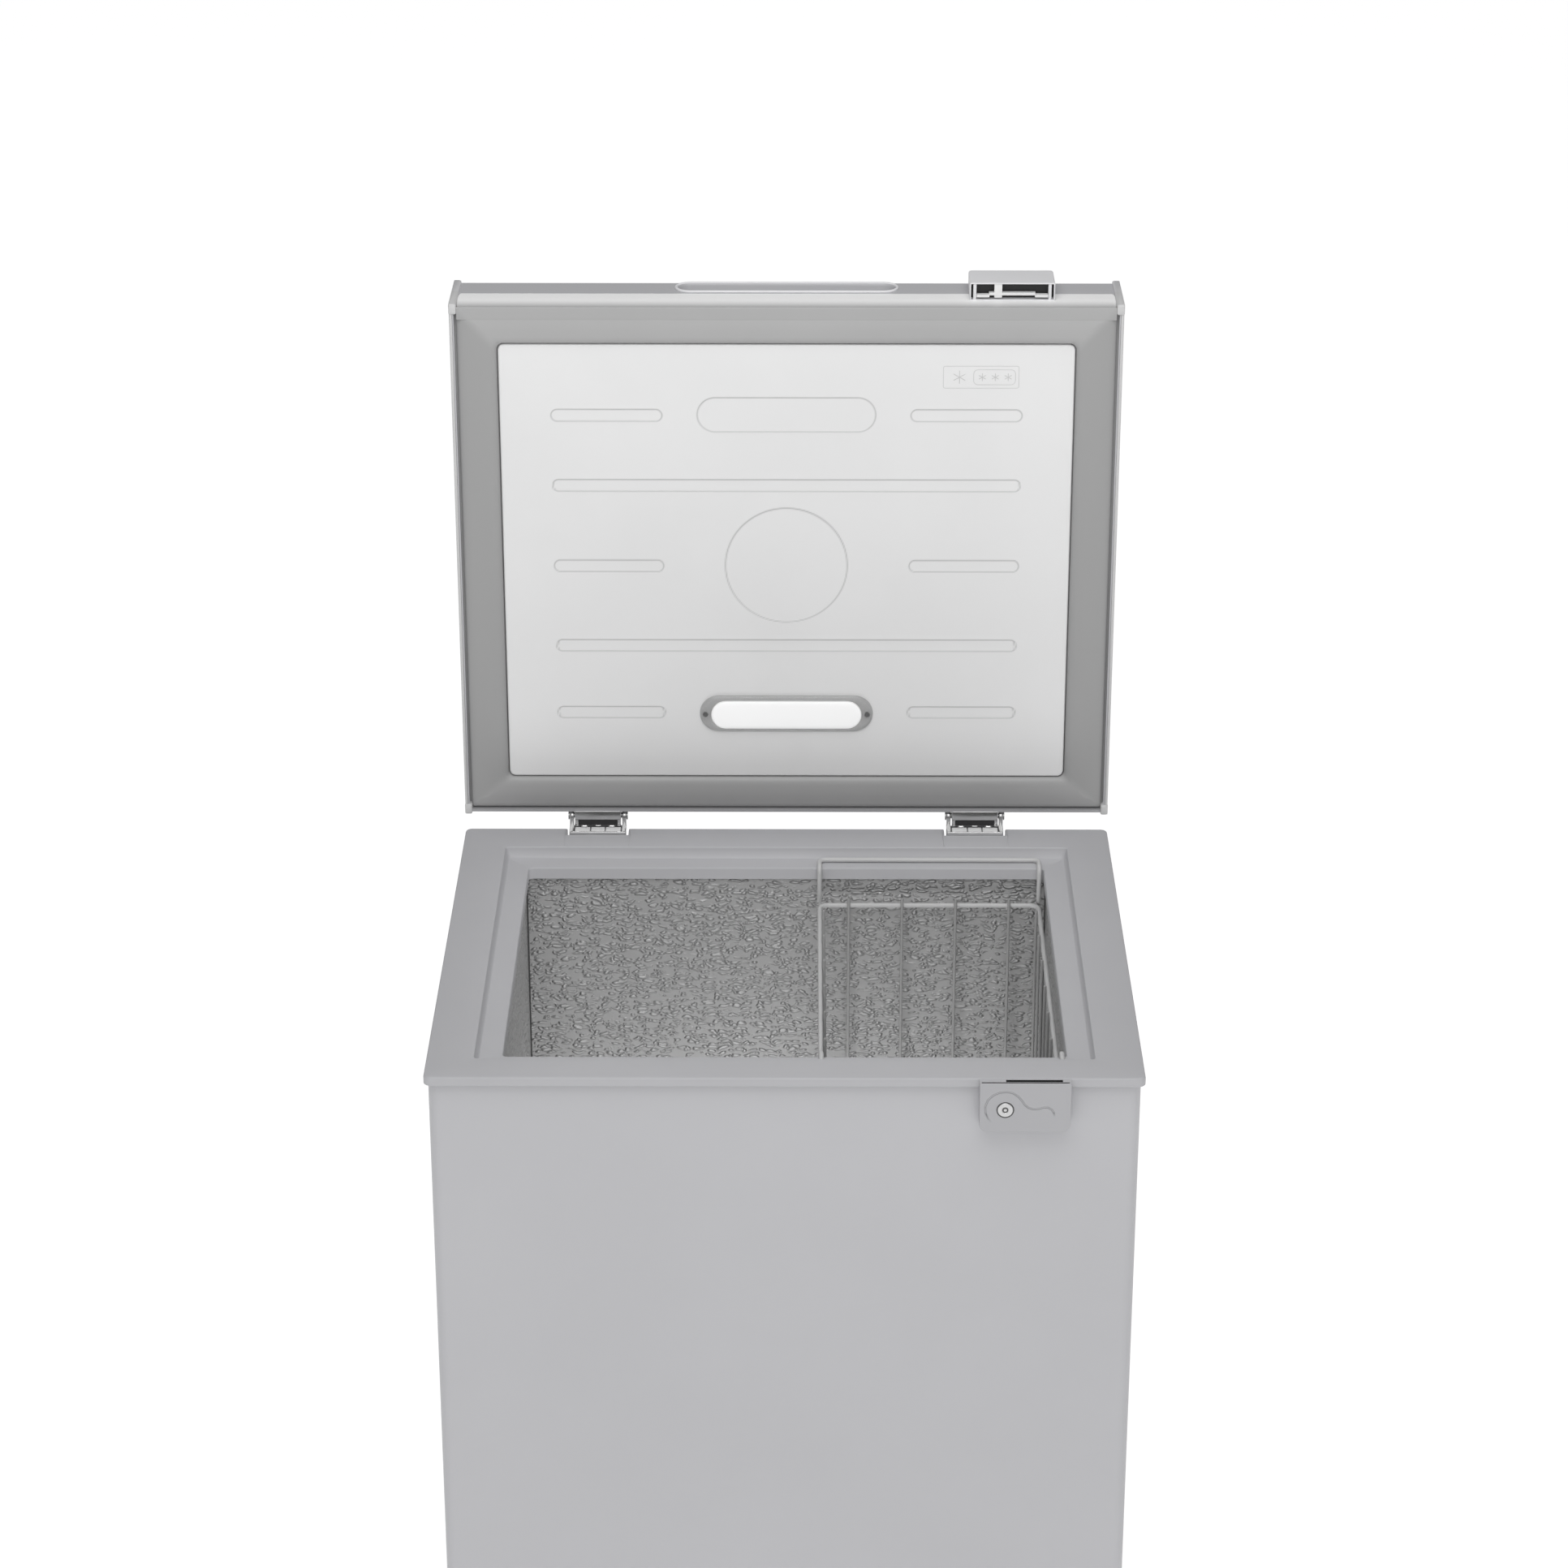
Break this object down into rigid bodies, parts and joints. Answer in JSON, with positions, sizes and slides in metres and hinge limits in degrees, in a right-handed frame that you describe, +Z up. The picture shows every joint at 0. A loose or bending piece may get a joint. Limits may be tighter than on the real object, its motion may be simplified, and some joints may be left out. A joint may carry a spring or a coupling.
{
  "type": "chest freezer",
  "caption": "Small chest freezer with its insulated lid standing open, stepped aluminium liner, hanging wire basket, key lock, thermostat knob and drain.",
  "frame": {"origin": "on the floor, under the middle of the whole freezer with its lid open", "axes": "+Z up, +Y towards the hinges at the back, +X to the right of a person in front"},
  "size_m": [0.545, 0.5192, 1.2606],
  "materials": {
    "painted_silver": "satin",
    "lid_paint": "satin",
    "galvanised_steel": "satin",
    "embossed_aluminium": "embossed",
    "collar_plastic": "satin",
    "insulation": "foamed",
    "cooling_tube": "plain",
    "steel_tube": "plain",
    "copper": "plain",
    "black_enamel": "gloss",
    "black_plastic": "moulded",
    "rubber": "matt",
    "zinc_screw": "plated",
    "hinge_chrome": "bright",
    "light_grey_plastic": "satin",
    "panel_white": "satin",
    "control_grey": "satin",
    "knob_white": "satin",
    "drain_white": "satin",
    "gasket_grey": "soft",
    "lamp_clear": "clear",
    "lens_white": "frosted",
    "circuit_board": "lacquered",
    "pilot_lens": "clear",
    "wire_coating": "coated wire"
  },
  "bodies": {
    "cabinet": {"outer_wrap": "painted_silver", "back_panel": "galvanised_steel", "base_plate": "galvanised_steel", "compressor_tray": "galvanised_steel", "bay_partition": "galvanised_steel", "inner_liner": "embossed_aluminium", "top_collar": "collar_plastic", "insulation_foam": "insulation", "evaporator_coil": "cooling_tube", "condenser_coil": "steel_tube", "compressor": "black_enamel", "compressor_start_box": "black_plastic", "compressor_grommets": "rubber", "compressor_bolts": "zinc_screw", "refrigerant_lines": "steel_tube", "filter_drier": "copper", "rear_service_cover": "black_plastic", "service_cover_screws": "zinc_screw", "power_inlet_gland": "black_plastic", "drain_channel": "drain_white", "control_panel": "control_grey", "thermostat_body": "black_plastic", "pilot_lamps": "pilot_lens", "lock_plate": "light_grey_plastic", "hinge_bracket_left": "hinge_chrome", "hinge_bracket_right": "hinge_chrome", "hinge_pins": "zinc_screw", "hinge_bracket_screws": "zinc_screw", "foot_front_left": "rubber", "foot_front_right": "rubber", "foot_rear_left": "rubber", "foot_rear_right": "rubber"},
    "lid": {"lid_outer_panel": "lid_paint", "lid_front_trim": "light_grey_plastic", "lid_rear_trim": "light_grey_plastic", "lid_handle_cup": "light_grey_plastic", "latch_housing": "light_grey_plastic", "lid_foam": "insulation", "lid_inner_panel": "panel_white", "lid_gasket": "gasket_grey", "lamp_housing": "lamp_clear", "lamp_lens": "lens_white", "lamp_board": "circuit_board", "lamp_screws": "zinc_screw", "hinge_leaf_left": "hinge_chrome", "hinge_leaf_right": "hinge_chrome", "hinge_leaf_screws": "zinc_screw", "lid_end_cap_left": "light_grey_plastic", "lid_end_cap_right": "light_grey_plastic"},
    "lock": {"lock_barrel": "hinge_chrome", "lock_hook": "hinge_chrome"},
    "thermostat": {"thermostat_knob": "knob_white"},
    "drain_plug": {"drain_plug": "drain_white"},
    "drain_cap": {"drain_cap": "drain_white"},
    "basket": {"basket_rim": "wire_coating", "basket_floor": "wire_coating", "basket_wall_left": "wire_coating", "basket_wall_right": "wire_coating", "basket_wall_front": "wire_coating", "basket_wall_back": "wire_coating"}
  },
  "joints": [
    {"name": "lid_hinge", "type": "hinge", "parent": "cabinet", "child": "lid", "pos_m": [0, 0.20205, 0.79245], "axis": [-1, 0, 0], "range_deg": [-90, 0]},
    {"name": "lock_turn", "type": "hinge", "parent": "cabinet", "child": "lock", "pos_m": [0.1665, -0.2523, 0.7588], "axis": [0, -1, 0], "range_deg": [0, 86]},
    {"name": "thermostat_turn", "type": "hinge", "parent": "cabinet", "child": "thermostat", "pos_m": [0.18, -0.2523, 0.092], "axis": [0, 1, 0], "range_deg": [0, 270]},
    {"name": "drain_plug_pull", "type": "slide", "parent": "cabinet", "child": "drain_plug", "axis": [0, 0, 1], "range_m": [0, 0.03]},
    {"name": "drain_cap_pull", "type": "slide", "parent": "cabinet", "child": "drain_cap", "axis": [0, -1, 0], "range_m": [0, 0.03]},
    {"name": "basket_lift", "type": "slide", "parent": "cabinet", "child": "basket", "axis": [0, 0, 1], "range_m": [0, 0.3]}
  ]
}
